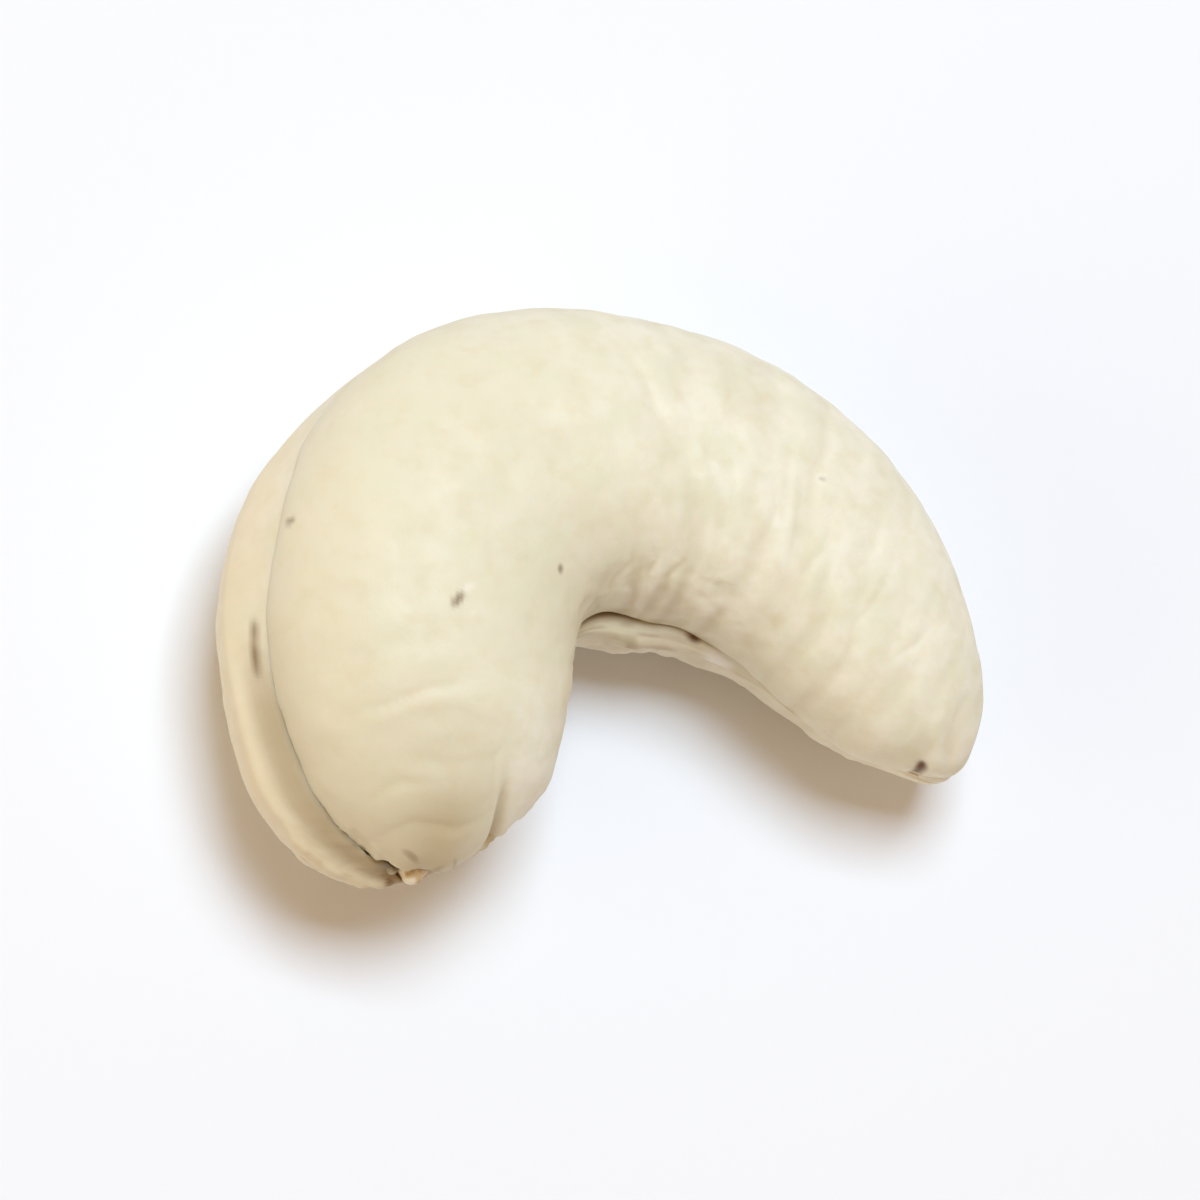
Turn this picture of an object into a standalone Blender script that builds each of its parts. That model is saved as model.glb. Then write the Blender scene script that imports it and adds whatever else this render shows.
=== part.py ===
"""Shelled cashew kernel lying on its side: two cotyledons, seam to seam, with the radicle held between them.

The shape is drawn in millimetres in the seam plane, +X towards the tip and +Z out of the upper cotyledon, and written
to the meshes in metres. The seam plane leans a little, and the origin is under the middle of the whole kernel, on the
surface that it rests on.
"""

import math

import bmesh
import bpy
import numpy as np
from mathutils import Matrix, Vector

OBJECT_NAME = "cashew_kernel"
MM = 0.001

# How the kernel lies
SEAM_HEIGHT = 5.15  # of the seam plane over the resting surface, at the drawing's origin
SEAM_TILT = math.radians(5.0)
RAISED_TOWARDS = math.radians(205.0)  # direction in plan in which the seam plane climbs
SPOT_DEPTH = 0.12  # taken off the belly's lowest points, which leaves the flat spots that it rests on

# How the halves meet
SEAM_GAP = 0.3
RIM = 0.45  # rounding of each half's edge at the seam
SEAM_BOW = 0.55  # rise of the meeting faces from the rims to the middle

# The drawing of the kernel, 26 mm long. Each rib crosses the kernel in the seam plane from its outer rim to its inner
# rim, and the ribs run from the fat end round the arch to the tip. Columns: outer x and y, inner x and y, height of
# the crown over the seam, clearance left under the belly, and how far the lower half reaches past the upper one at
# the outer rim and at the inner rim.
RIBS = np.array(
    [
        [-9.0, -9.9, -2.8, -8.35, 3.9, 1.20, 1.00, 0.0],
        [-10.8, -6.4, -2.3, -6.4, 4.5, 0.40, 1.15, -0.2],
        [-11.8, -3.2, -1.75, -4.2, 5.0, 0.00, 1.05, -0.3],
        [-12.0, 0.0, -1.45, -2.3, 5.2, 0.05, 1.00, -0.2],
        [-11.3, 3.4, -1.1, -1.3, 5.3, 0.20, 0.65, 0.2],
        [-9.5, 6.3, -0.7, -0.8, 5.3, 0.20, 0.25, 0.7],
        [-6.6, 8.7, -0.1, -0.5, 5.2, 0.05, 0.00, 1.1],
        [-2.8, 9.8, 0.6, -0.45, 5.1, 0.00, 0.00, 1.15],
        [1.4, 9.5, 1.5, -0.6, 4.9, 0.15, 0.00, 0.95],
        [5.6, 8.2, 2.7, -1.0, 4.7, 0.20, 0.00, 0.65],
        [9.0, 5.8, 4.4, -2.0, 4.5, 0.00, 0.00, 0.2],
        [11.3, 2.9, 6.3, -3.5, 4.2, 0.10, 0.00, -0.1],
        [12.6, -0.4, 8.0, -4.8, 3.8, 0.45, 0.00, -0.2],
        [13.2, -3.4, 9.3, -5.6, 3.4, 0.90, 0.00, -0.2],
        [13.3, -5.9, 10.5, -6.4, 3.0, 1.35, 0.00, -0.2],
    ]
)
OUTER = slice(0, 2)
INNER = slice(2, 4)
CROWN, CLEARANCE, REACH_OUT, REACH_IN = 4, 5, 6, 7

# Rounding of the two ends: length along the centre line, and power of the curve. In height they taper over more of
# the kernel than in plan.
FAT_CAP, FAT_BLUNTNESS = 3.4, 2.4
TIP_CAP, TIP_BLUNTNESS = 2.6, 2.2
FAT_SLOPE, TIP_SLOPE, SLOPE_BLUNTNESS = 5.2, 5.0, 2.1

# The lower half's fat end, drawn out past the upper half's
TOE = np.array([-0.45, -0.35])
TOE_LENGTH = 6.0

# Powers of the curves of a section: the dome, and the nearly flat face at the seam
DOME_FULLNESS = 2.35
FACE_FULLNESS = 5.0

# Furrows in the upper half, each deepest at its start on the rim and dying out at its end: start x and y, end x and
# y, depth, half width. The first splits the fat end into its two lobes, and the others are the arch's pleats.
FURROWS = (
    (-4.0, -8.9, -3.6, -5.3, 0.50, 0.60),
    (-0.2, -0.7, -0.9, 2.2, 0.20, 0.32),
    (0.5, -0.6, 0.3, 2.8, 0.28, 0.32),
    (1.1, -0.6, 1.4, 3.0, 0.32, 0.32),
    (1.8, -0.7, 2.6, 2.6, 0.34, 0.34),
    (2.6, -1.0, 3.8, 1.9, 0.28, 0.34),
    (3.4, -1.4, 5.0, 0.9, 0.20, 0.36),
)

# The radicle: a teardrop whose tip shows at the seam, between the two rims of the fat end
RADICLE_ROOT = Vector((-6.1, -6.3, 0.0))
RADICLE_TIP = Vector((-6.85, -9.75, -0.05))
RADICLE_RADIUS = 0.8
RADICLE_TAPER = 0.4  # share of the radius lost between the middle and the tip

# Fineness of the meshes
RINGS = 60
SECTION_POINTS = 26
RADICLE_SEGMENTS, RADICLE_RINGS = 14, 10

# Colours as they look in daylight, each channel from 0 to 255
UPPER_COLOUR = (239, 229, 205)
LOWER_COLOUR = (226, 212, 180)
RADICLE_COLOUR = (226, 208, 170)
KERNEL_ROUGHNESS = 0.55


def clear_scene():
    """Remove every object that is in the scene."""
    for obj in list(bpy.data.objects):
        bpy.data.objects.remove(obj, do_unlink=True)


def new_collection(name):
    """Return a new collection, linked to the scene."""
    collection = bpy.data.collections.new(name)
    bpy.context.scene.collection.children.link(collection)
    return collection


def to_linear(channel):
    """Return a display channel of 0 to 255 as linear light."""
    share = channel / 255
    return share / 12.92 if share <= 0.04045 else ((share + 0.055) / 1.055) ** 2.4


def matt_material(name, colour):
    """Return a matt, waxy Principled material."""
    material = bpy.data.materials.new(name)
    material.use_nodes = True
    shader = material.node_tree.nodes["Principled BSDF"]
    shader.inputs["Base Color"].default_value = (*map(to_linear, colour), 1.0)
    shader.inputs["Roughness"].default_value = KERNEL_ROUGHNESS
    shader.inputs["Metallic"].default_value = 0.0
    return material


def blend_ribs(place):
    """Return the rib table's values at fractional rib numbers, on a smooth curve through every rib."""
    before = 2 * RIBS[0] - RIBS[1]
    after = 2 * RIBS[-1] - RIBS[-2]
    padded = np.vstack([before, RIBS, after])
    first = np.clip(np.floor(place).astype(int), 0, len(RIBS) - 2)
    t = (place - first)[:, None]
    p0, p1, p2, p3 = (padded[first + k] for k in range(4))
    linear = p2 - p0
    square = 2 * p0 - 5 * p1 + 4 * p2 - p3
    cube = 3 * p1 - p0 - 3 * p2 + p3
    return (2 * p1 + linear * t + square * t**2 + cube * t**3) / 2


def end_rounding(distance, cap_length, bluntness):
    """Return the share of the full section that is left at a distance from an end of the kernel."""
    left = 1 - np.clip(distance / cap_length, 0, 1)
    return (1 - left**bluntness) ** (1 / bluntness)


def ring_stations(rings):
    """Return the rib values and three shares for every ring: of the toe, of the full width and of the full height.

    The rings stand evenly along the centre line and closer together where an end rounds off.
    """
    fine = blend_ribs(np.linspace(0, len(RIBS) - 1, 1500))
    centre = (fine[:, OUTER] + fine[:, INNER]) / 2
    steps = np.linalg.norm(np.diff(centre, axis=0), axis=1)
    along = np.concatenate([[0], np.cumsum(steps)])
    length = along[-1]
    cap_rings = rings // 7
    quarter = 1 - np.cos(np.linspace(0, math.pi / 2, cap_rings + 1)[1:])
    middle = np.linspace(FAT_CAP, length - TIP_CAP, rings - 2 * cap_rings + 2)[1:-1]
    distance = np.concatenate([FAT_CAP * quarter, middle, length - TIP_CAP * quarter[::-1]])
    values = np.stack([np.interp(distance, along, column) for column in fine.T], axis=1)
    toe = np.clip(1 - distance / TOE_LENGTH, 0, 1) ** 2
    width = end_rounding(distance, FAT_CAP, FAT_BLUNTNESS)
    width *= end_rounding(length - distance, TIP_CAP, TIP_BLUNTNESS)
    height = end_rounding(distance, FAT_SLOPE, SLOPE_BLUNTNESS)
    height *= end_rounding(length - distance, TIP_SLOPE, SLOPE_BLUNTNESS)
    return values, toe, width, height


def seam_climb(plan):
    """Return how much higher than at the drawing's origin the tilted seam lies at points in plan."""
    direction = np.array([math.cos(RAISED_TOWARDS), math.sin(RAISED_TOWARDS)])
    return math.tan(SEAM_TILT) * (plan @ direction)


def section_curve(points):
    """Return one closed section as shares: across the rib, up the dome, and down the seam face.

    Each part is a superellipse. The dome's is round, and the face's is flat with rounded edges.
    """
    angle = np.linspace(0, 2 * math.pi, points, endpoint=False)
    cosine, sine = np.cos(angle), np.sin(angle)
    power = np.where(sine >= 0, 2 / DOME_FULLNESS, 2 / FACE_FULLNESS)
    across = np.sign(cosine) * np.abs(cosine) ** power
    height = np.abs(sine) ** power
    return across, np.where(sine >= 0, height, 0), np.where(sine < 0, height, 0)


def half_surface(upper, rings, points):
    """Return a half's surface as an array of rings by section points by x, y, z, in the seam frame."""
    values, toe, width, height = ring_stations(rings)
    outer, inner = values[:, OUTER], values[:, INNER]
    if not upper:
        outward = outer - inner
        outward /= np.linalg.norm(outward, axis=1, keepdims=True)
        drawn_out = toe[:, None] * TOE
        outer = outer + outward * values[:, [REACH_OUT]] + drawn_out
        inner = inner - outward * values[:, [REACH_IN]] + drawn_out
    centre = (outer + inner) / 2
    half_width = (outer - inner) / 2 * width[:, None]
    belly = SEAM_HEIGHT + seam_climb(centre) - values[:, CLEARANCE] - SEAM_GAP / 2
    bulge = ((values[:, CROWN] if upper else belly) - RIM) * height
    across, dome, face = section_curve(points)
    plan = centre[:, None] + across[None, :, None] * half_width[:, None]
    rise = SEAM_GAP / 2 + RIM + dome * bulge[:, None] - face * RIM * width[:, None]
    bow = SEAM_BOW * (1 - across**2) * (face > 0) * width[:, None]
    surface = np.dstack([plan, rise + bow if upper else bow - rise])
    return press_furrows(surface, dome > 0) if upper else surface


def surface_normals(surface):
    """Return the unit normals, pointing out, of a surface whose sections are closed."""
    along = np.gradient(surface, axis=0)
    around = np.roll(surface, -1, axis=1) - np.roll(surface, 1, axis=1)
    normals = np.cross(along, around)
    normals /= np.linalg.norm(normals, axis=2, keepdims=True) + 1e-9
    outwards = surface - surface.mean(axis=1, keepdims=True)
    return normals * np.sign((normals * outwards).sum())


def press_furrows(surface, on_dome):
    """Return the surface with the furrows pressed into its dome, square to it."""
    plan = surface[..., :2]
    depth = np.zeros(plan.shape[:2])
    for start_x, start_y, end_x, end_y, deepest, half_width in FURROWS:
        start = np.array([start_x, start_y])
        run = np.array([end_x, end_y]) - start
        share = np.clip((plan - start) @ run / (run @ run), 0, 1)
        off = np.linalg.norm(plan - start - share[..., None] * run, axis=2)
        depth += deepest * np.cos(share * math.pi / 2) ** 2 * np.exp(-((off / half_width) ** 2))
    return surface - surface_normals(surface) * (depth * on_dome)[..., None]


def closed_mesh(name, surface):
    """Return a mesh of the surface, with each end ring closed by a point at its middle."""
    rings, points = surface.shape[:2]
    corners = np.vstack([surface.reshape(-1, 3), surface[[0, -1]].mean(axis=1)]) * MM
    number = np.arange(rings * points).reshape(rings, points)
    following = np.roll(number, -1, axis=1)
    walls = np.dstack([number[:-1], number[1:], following[1:], following[:-1]]).reshape(-1, 4)
    first_pole = np.full(points, rings * points)
    fans = np.vstack(
        [
            np.stack([number[0], following[0], first_pole], axis=1),
            np.stack([following[-1], number[-1], first_pole + 1], axis=1),
        ]
    )
    mesh = bpy.data.meshes.new(name)
    mesh.from_pydata(corners.tolist(), [], walls.tolist() + fans.tolist())
    shaped = bmesh.new()
    shaped.from_mesh(mesh)
    bmesh.ops.recalc_face_normals(shaped, faces=shaped.faces)
    shaped.to_mesh(mesh)
    shaped.free()
    return mesh


def radicle_mesh(name, swell):
    """Return the radicle's teardrop, or with a swell in millimetres the pocket that it lies in."""
    reach = (RADICLE_TIP - RADICLE_ROOT).length / 2 + swell
    shaped = bmesh.new()
    bmesh.ops.create_uvsphere(shaped, u_segments=RADICLE_SEGMENTS, v_segments=RADICLE_RINGS, radius=1.0)
    for vert in shaped.verts:
        slim = 1 - RADICLE_TAPER * max(vert.co.z, 0.0)
        vert.co.x *= RADICLE_RADIUS * slim + swell
        vert.co.y *= RADICLE_RADIUS * slim + swell
        vert.co.z *= reach
    lie = (RADICLE_TIP - RADICLE_ROOT).to_track_quat("Z", "Y").to_matrix().to_4x4()
    middle = (RADICLE_TIP + RADICLE_ROOT) / 2
    shaped.transform(Matrix.Scale(MM, 4) @ Matrix.Translation(middle) @ lie)
    mesh = bpy.data.meshes.new(name)
    shaped.to_mesh(mesh)
    shaped.free()
    return mesh


def add_piece(name, mesh, collection, seat, material=None):
    """Return a new smooth-shaded object on the seat."""
    obj = bpy.data.objects.new(name, mesh)
    collection.objects.link(obj)
    obj.parent = seat
    mesh.shade_smooth()
    if material:
        mesh.materials.append(material)
    return obj


def hide_cutter(obj):
    """Show a cutter as wires and keep it out of the render."""
    obj.hide_render = True
    obj.display_type = "WIRE"


def cut(obj, cutter):
    """Take the cutter's volume from the object with a live Boolean."""
    modifier = obj.modifiers.new(f"less {cutter.name}", "BOOLEAN")
    modifier.operation = "DIFFERENCE"
    modifier.solver = "EXACT"
    modifier.object = cutter


def lay_on_surface(seat, halves):
    """Tilt the seat, then move it until the halves' box stands centred over the origin, its spots at z = 0."""
    raised = Vector((math.cos(RAISED_TOWARDS), math.sin(RAISED_TOWARDS), 0.0))
    seat.matrix_world = Matrix.Rotation(SEAM_TILT, 4, raised.cross(Vector((0.0, 0.0, 1.0))))
    bpy.context.view_layer.update()
    corners = np.array([obj.matrix_world @ vert.co for obj in halves for vert in obj.data.vertices])
    lowest, highest = corners.min(axis=0), corners.max(axis=0)
    middle = (lowest + highest) / 2
    seat.location = (-middle[0], -middle[1], -lowest[2] - SPOT_DEPTH * MM)
    bpy.context.view_layer.update()


def surface_cutter(collection):
    """Return a box whose top is the resting surface."""
    side, depth = 60 * MM, 5 * MM
    mesh = bpy.data.meshes.new("resting_surface")
    box = bmesh.new()
    size = Matrix.Diagonal((side, side, depth, 1.0))
    bmesh.ops.create_cube(box, size=1.0, matrix=Matrix.Translation((0.0, 0.0, -depth / 2)) @ size)
    box.to_mesh(mesh)
    box.free()
    obj = bpy.data.objects.new("resting_surface", mesh)
    collection.objects.link(obj)
    return obj


def build_kernel():
    """Build the two cotyledons and the radicle where they lie."""
    pieces = new_collection(OBJECT_NAME)
    cutters = new_collection(f"{OBJECT_NAME}_cutters")
    seat = bpy.data.objects.new("kernel_seat", None)
    pieces.objects.link(seat)

    upper_mesh = closed_mesh("cotyledon_upper", half_surface(True, RINGS, SECTION_POINTS))
    lower_mesh = closed_mesh("cotyledon_lower", half_surface(False, RINGS, SECTION_POINTS))
    upper_material = matt_material("kernel_upper", UPPER_COLOUR)
    lower_material = matt_material("kernel_lower", LOWER_COLOUR)
    radicle_material = matt_material("kernel_radicle", RADICLE_COLOUR)
    upper = add_piece("cotyledon_upper", upper_mesh, pieces, seat, upper_material)
    lower = add_piece("cotyledon_lower", lower_mesh, pieces, seat, lower_material)
    add_piece("radicle", radicle_mesh("radicle", 0.0), pieces, seat, radicle_material)

    pocket = add_piece("radicle_pocket", radicle_mesh("radicle_pocket", SEAM_GAP), cutters, seat)
    lay_on_surface(seat, (upper, lower))
    surface = surface_cutter(cutters)
    hide_cutter(pocket)
    hide_cutter(surface)
    cut(upper, pocket)
    cut(lower, pocket)
    cut(lower, surface)


clear_scene()
build_kernel()
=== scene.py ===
"""A shelled cashew kernel on a pale floor: its two cotyledons and its radicle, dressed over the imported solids.

The kernel is drawn in millimetres in its seam plane, +X towards the tip and +Z out of the upper cotyledon. Placement
carries that drawing to the row frame, which is in metres.
"""

import logging
import math
from dataclasses import dataclass, field
from enum import Enum

import bpy
import numpy as np
from mathutils import Matrix, Vector


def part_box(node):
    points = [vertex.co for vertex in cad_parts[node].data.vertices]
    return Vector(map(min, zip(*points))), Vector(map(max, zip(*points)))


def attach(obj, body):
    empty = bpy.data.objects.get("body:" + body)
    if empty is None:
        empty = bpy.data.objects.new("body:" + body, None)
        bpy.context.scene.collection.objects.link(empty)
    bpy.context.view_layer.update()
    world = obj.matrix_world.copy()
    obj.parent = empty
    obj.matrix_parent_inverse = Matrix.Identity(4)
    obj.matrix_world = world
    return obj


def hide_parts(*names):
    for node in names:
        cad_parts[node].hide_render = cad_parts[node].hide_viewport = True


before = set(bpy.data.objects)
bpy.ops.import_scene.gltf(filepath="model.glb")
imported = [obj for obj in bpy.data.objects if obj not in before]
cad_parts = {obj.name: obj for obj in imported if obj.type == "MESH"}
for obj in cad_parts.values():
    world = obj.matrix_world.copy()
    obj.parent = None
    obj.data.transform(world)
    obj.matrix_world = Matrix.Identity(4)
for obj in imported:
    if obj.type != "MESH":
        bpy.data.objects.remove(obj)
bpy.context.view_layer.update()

MM = 0.001
BODY = "root"

log = logging.getLogger("kernel")

Pair = tuple[float, float]
Triple = tuple[float, float, float]
Rgb = tuple[int, int, int]
Socket = bpy.types.NodeSocket
Colour = Socket | tuple[float, float, float, float]


class Side(Enum):
    """The two seed halves, each named for the CAD node that it stands for."""

    UPPER = "cotyledon_upper"
    LOWER = "cotyledon_lower"


def smooth_step(value: np.ndarray, start: float, end: float) -> np.ndarray:
    """Return 0 before start and 1 after end, with a smooth rise between them (3t^2 - 2t^3).

    Args:
        value: The numbers to grade.
        start: Where the rise begins. It may lie above end, and the rise is then a fall.
        end: Where the rise is complete.

    Returns:
        The graded numbers, in the shape of value.
    """
    t = np.clip((value - start) / (end - start), 0, 1)
    return t * t * (3 - 2 * t)


def bell(value: np.ndarray, half_width: float) -> np.ndarray:
    """Return a bell curve, exp(-(value / half_width)^2)."""
    return np.exp(-((value / half_width) ** 2))


def to_linear(colour: Rgb) -> tuple[float, float, float, float]:
    """Return a display colour as linear light, by the sRGB curve.

    Args:
        colour: Red, green and blue, 0 to 255.

    Returns:
        Red, green and blue as linear light, and full alpha.
    """
    shares = np.array(colour) / 255
    linear = np.where(shares <= 0.04045, shares / 12.92, ((shares + 0.055) / 1.055) ** 2.4)
    return (*linear.tolist(), 1.0)


class LatticeNoise:
    """Smooth noise from random values on a cubic lattice that repeats every few dozen cells."""

    CELLS = 32

    def __init__(self, seed: int) -> None:
        """Draw the lattice's values from a seeded generator."""
        self.values = np.random.default_rng(seed).uniform(-1, 1, (self.CELLS,) * 3)

    def at(self, points: np.ndarray, wavelength: float | Triple) -> np.ndarray:
        """Return the noise at points, from -1 to 1.

        The eight lattice values round a point are blended by the quintic 6t^5 - 15t^4 + 10t^3 along each axis.

        Args:
            points: Array whose last axis holds x, y, z.
            wavelength: Size of a lattice cell, one for all axes or one for each, in the points' unit.

        Returns:
            The noise, in the shape of points without its last axis.
        """
        place = points / np.asarray(wavelength)
        cell = np.floor(place).astype(int)
        t = place - cell
        t = t**3 * (t * (6 * t - 15) + 10)
        total = np.zeros(points.shape[:-1])
        for corner in np.ndindex(2, 2, 2):
            i, j, k = np.moveaxis((cell + corner) % self.CELLS, -1, 0)
            share = np.prod(np.where(corner, t, 1 - t), axis=-1)
            total += share * self.values[i, j, k]
        return total

    def layered(self, points: np.ndarray, wavelength: float, layers: int) -> np.ndarray:
        """Return layers of noise summed, each half as long and half as strong as the one before."""
        return sum(self.at(points + 7.3 * n, wavelength / 2**n) / 2**n for n in range(layers))

    def billow(self, points: np.ndarray, wavelength: float | Triple) -> np.ndarray:
        """Return noise of round lumps with narrow valleys between them: sqrt(noise^2 + 0.01), from 0.1 to 1."""
        return np.sqrt(self.at(points, wavelength) ** 2 + 0.01)


@dataclass(frozen=True)
class Wave:
    """A kind of relief: its wavelength, one for all axes or one for each, and its height, both in millimetres."""

    length: float | Triple
    height: float

    def of(self, noise: LatticeNoise, points: np.ndarray) -> np.ndarray:
        """Return noise of this wavelength and height at points."""
        return noise.at(points, self.length) * self.height


@dataclass(frozen=True)
class Furrow:
    """A furrow pressed into a half: deepest at its start on the rim, dying out at its end."""

    start: Pair
    end: Pair
    depth: float
    half_width: float

    def depth_at(self, plan: np.ndarray) -> np.ndarray:
        """Return the depth at points: depth x cos^2 along the run x a bell curve of the distance from it.

        Args:
            plan: The points, x and y.

        Returns:
            The depth in millimetres.
        """
        start = np.array(self.start)
        run = np.array(self.end) - start
        share = np.clip((plan - start) @ run / (run @ run), 0, 1)
        off = np.linalg.norm(plan - start - share[..., None] * run, axis=-1)
        return self.depth * np.cos(share * math.pi / 2) ** 2 * bell(off, self.half_width)


@dataclass(frozen=True)
class Crease:
    """A fine line in the skin along a few points, with a soft lip of some height on one side."""

    LIP_PLACE = 1.6
    LIP_WIDTH = 2.4

    points: tuple[Pair, ...]
    depth: float
    half_width: float
    lip: float = 0.0

    def depth_at(self, plan: np.ndarray) -> np.ndarray:
        """Return the depth at points, below zero where the lip stands proud.

        The distance to the nearest stretch gives a narrow bell curve for the line. On its right-hand side, seen from
        its first point, a wider one that lies beside the line is subtracted as the lip. Both fade out at the ends.

        Args:
            plan: The points, x and y.

        Returns:
            The depth in millimetres.
        """
        nearest = np.full(plan.shape[:-1], np.inf)
        side = np.zeros(plan.shape[:-1])
        place = np.zeros(plan.shape[:-1])
        stretches = len(self.points) - 1
        for number in range(stretches):
            start = np.array(self.points[number])
            run = np.array(self.points[number + 1]) - start
            share = np.clip((plan - start) @ run / (run @ run), 0, 1)
            offset = plan - start - share[..., None] * run
            distance = np.linalg.norm(offset, axis=-1)
            closer = distance < nearest
            nearest = np.where(closer, distance, nearest)
            side = np.where(closer, run[0] * offset[..., 1] - run[1] * offset[..., 0], side)
            place = np.where(closer, (number + share) / stretches, place)
        fade = np.sin(np.clip(place, 0.02, 0.98) * math.pi) ** 0.5
        line = self.depth * bell(nearest, self.half_width)
        beside = nearest - self.half_width * self.LIP_PLACE
        lip = self.lip * bell(beside, self.half_width * self.LIP_WIDTH) * (side < 0)
        return (line - lip) * fade


@dataclass(frozen=True)
class Bulge:
    """A push sideways in plan that dies out over a radius."""

    place: Pair
    push: Pair
    radius: float

    def shift(self, plan: np.ndarray) -> np.ndarray:
        """Return the shift of points in plan: the push x a bell curve of their distance from the place."""
        share = bell(np.linalg.norm(plan - np.array(self.place), axis=-1), self.radius)
        return share[..., None] * np.array(self.push)


@dataclass(frozen=True)
class Speck:
    """A small mark, in a shallow pit or none: its size in millimetres, the degrees it is turned, its strength."""

    EDGE = (1.45, 0.25)
    RAGGEDNESS = 0.25

    place: Pair
    length: float
    width: float
    turned: float
    strength: float
    pit: float = 0.0

    def mark_at(self, plan: np.ndarray, ragged: np.ndarray) -> np.ndarray:
        """Return the mark's strength at points: a soft-edged ellipse whose edge the ragged noise moves.

        Args:
            plan: The points, x and y.
            ragged: Noise at the same points.

        Returns:
            The strength, 0 outside the mark.
        """
        offset = plan - np.array(self.place)
        angle = math.radians(self.turned)
        along = offset[..., 0] * math.cos(angle) + offset[..., 1] * math.sin(angle)
        across = offset[..., 1] * math.cos(angle) - offset[..., 0] * math.sin(angle)
        reach = np.hypot(along / (self.length / 2), across / (self.width / 2)) + self.RAGGEDNESS * ragged
        return self.strength * smooth_step(reach, *self.EDGE)


@dataclass(frozen=True)
class KernelDrawing:
    """The kernel's drawing. Its ribs cross it in the seam plane, from the fat end round the arch to the tip.

    A rib's columns: outer x and y, inner x and y, height of the crown over the seam, clearance left under the belly,
    and how far the lower half reaches past the upper one at the outer rim and at the inner rim.
    """

    ribs: np.ndarray = field(
        default_factory=lambda: np.array(
            [
                [-9.0, -9.9, -2.8, -8.35, 3.9, 1.20, 1.00, 0.0],
                [-10.8, -6.4, -2.3, -6.4, 4.5, 0.40, 1.15, -0.2],
                [-11.8, -3.2, -1.75, -4.2, 5.0, 0.00, 1.05, -0.3],
                [-12.0, 0.0, -1.45, -2.3, 5.2, 0.05, 1.00, -0.2],
                [-11.3, 3.4, -1.1, -1.3, 5.3, 0.20, 0.65, 0.2],
                [-9.5, 6.3, -0.7, -0.8, 5.3, 0.20, 0.25, 0.7],
                [-6.6, 8.7, -0.1, -0.5, 5.2, 0.05, 0.00, 1.1],
                [-2.8, 9.8, 0.6, -0.45, 5.1, 0.00, 0.00, 1.15],
                [1.4, 9.5, 1.5, -0.6, 4.9, 0.15, 0.00, 0.95],
                [5.6, 8.2, 2.7, -1.0, 4.7, 0.20, 0.00, 0.65],
                [9.0, 5.8, 4.4, -2.0, 4.5, 0.00, 0.00, 0.2],
                [11.3, 2.9, 6.3, -3.5, 4.2, 0.10, 0.00, -0.1],
                [12.6, -0.4, 8.0, -4.8, 3.8, 0.45, 0.00, -0.2],
                [13.2, -3.4, 9.3, -5.6, 3.4, 0.90, 0.00, -0.2],
                [13.3, -5.9, 10.5, -6.4, 3.0, 1.35, 0.00, -0.2],
            ]
        )
    )
    seam_height: float = 5.15
    seam_tilt: float = math.radians(5.0)
    raised_towards: float = math.radians(205.0)
    solids_gap: float = 0.3
    shown_gap: float = 0.12
    rim: float = 0.45
    seam_bow: float = 0.55
    fat_cap: Pair = (3.4, 2.4)
    tip_cap: Pair = (2.6, 2.2)
    fat_slope: Pair = (5.2, 2.1)
    tip_slope: Pair = (5.0, 2.1)
    toe: Pair = (-0.45, -0.35)
    toe_length: float = 6.0
    dome_fullness: float = 2.35
    face_fullness: float = 5.0

    def blend_ribs(self, place: np.ndarray) -> np.ndarray:
        """Return the rib table between the ribs, by Catmull-Rom curves through every rib.

        Args:
            place: Rib numbers, which may be fractions.

        Returns:
            One row for each place, with the columns of the ribs.
        """
        ribs = self.ribs
        padded = np.vstack([2 * ribs[0] - ribs[1], ribs, 2 * ribs[-1] - ribs[-2]])
        first = np.clip(np.floor(place).astype(int), 0, len(ribs) - 2)
        t = (place - first)[:, None]
        p0, p1, p2, p3 = (padded[first + k] for k in range(4))
        square = 2 * p0 - 5 * p1 + 4 * p2 - p3
        cube = 3 * p1 - p0 - 3 * p2 + p3
        return (2 * p1 + (p2 - p0) * t + square * t**2 + cube * t**3) / 2

    def seam_climb(self, plan: np.ndarray) -> np.ndarray:
        """Return how much higher than at the drawing's origin the tilted seam lies at points in plan."""
        direction = np.array([math.cos(self.raised_towards), math.sin(self.raised_towards)])
        return math.tan(self.seam_tilt) * (plan @ direction)


def end_rounding(distance: np.ndarray, cap: Pair) -> np.ndarray:
    """Return the share of the full section left near an end: (1 - (1 - d / length)^power)^(1 / power).

    Args:
        distance: Distance from the end along the centre line.
        cap: Length over which the end rounds off, and the power of the curve.

    Returns:
        The share, 0 at the end and 1 past the cap.
    """
    length, power = cap
    left = 1 - np.clip(distance / length, 0, 1)
    return (1 - left**power) ** (1 / power)


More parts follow.
